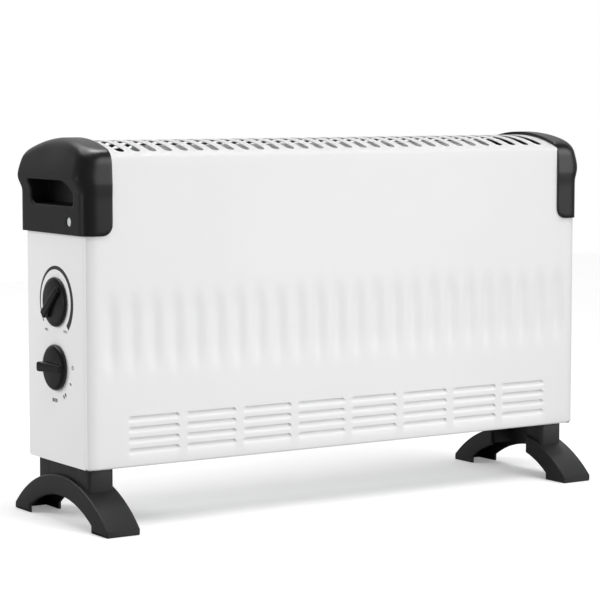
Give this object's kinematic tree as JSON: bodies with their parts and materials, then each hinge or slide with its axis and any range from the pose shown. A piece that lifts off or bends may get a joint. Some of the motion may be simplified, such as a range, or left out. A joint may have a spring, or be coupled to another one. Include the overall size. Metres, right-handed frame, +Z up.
{
  "type": "convector heater",
  "caption": "Free-standing convector heater: white sheet steel casing with slotted crown, fluted and louvred front, black end caps with hand recesses, arched feet and turning control knobs.",
  "frame": {"origin": "on the floor under the middle of the overall box", "axes": "+X along the casing away from the controls, +Y from the front to the rear, +Z up"},
  "size_m": [0.6284, 0.199, 0.3829],
  "materials": {
    "casing_paint": "white powder coat",
    "black_plastic": "fine textured black moulding",
    "zinc_steel": "zinc coated sheet",
    "bright_steel": "bright zinc screws and turned steel",
    "bright_sheet": "bright rolled sheet",
    "ceramic": "unglazed ceramic",
    "brass": "bright stamped brass",
    "switch_plastic": "heat resistant moulding",
    "wire_brown": "insulated wire",
    "wire_blue": "insulated wire",
    "wire_green": "insulated wire"
  },
  "bodies": {
    "heater": {"front_shell": "casing_paint", "rear_panel": "casing_paint", "side_panel_left": "casing_paint", "side_panel_right": "casing_paint", "end_cap_left": "black_plastic", "end_cap_right": "black_plastic", "foot_left": "black_plastic", "foot_right": "black_plastic", "cord_gland": "black_plastic", "base_plate": "zinc_steel", "control_partition": "zinc_steel", "element_bracket_left": "zinc_steel", "element_bracket_right": "zinc_steel", "cap_screws": "bright_steel", "foot_screws": "bright_steel", "base_screws": "bright_steel", "rear_screws": "bright_steel", "bracket_screws": "bright_steel", "earth_screw": "bright_steel", "thermostat_nut": "bright_steel", "selector_nut": "bright_steel", "air_deflector": "bright_sheet", "heat_shield_front": "bright_sheet", "heat_shield_rear": "bright_sheet", "heating_element_front": "bright_sheet", "heating_element_rear": "bright_sheet", "thermal_cutout": "bright_sheet", "insulators": "ceramic", "element_link": "brass", "thermostat_bimetal": "brass", "thermostat_terminals": "brass", "selector_terminals": "brass", "thermostat_body": "switch_plastic", "selector_body": "switch_plastic", "selector_cover": "switch_plastic", "terminal_block": "switch_plastic", "wire_live": "wire_brown", "wire_cutout": "wire_brown", "wire_thermostat": "wire_brown", "wire_element_front": "wire_brown", "wire_element_rear": "wire_brown", "wire_neutral": "wire_blue", "wire_earth": "wire_green"},
    "thermostat_dial": {"thermostat_knob": "black_plastic", "thermostat_shaft": "bright_steel"},
    "selector_dial": {"selector_knob": "black_plastic", "selector_shaft": "bright_steel"}
  },
  "joints": [
    {"name": "thermostat_turn", "type": "hinge", "parent": "heater", "child": "thermostat_dial", "pos_m": [-0.30025, 0, 0.221], "axis": [1, 0, 0], "range_deg": [-180, 90]},
    {"name": "selector_turn", "type": "hinge", "parent": "heater", "child": "selector_dial", "pos_m": [-0.30025, 0, 0.156], "axis": [1, 0, 0], "range_deg": [0, 90]}
  ]
}
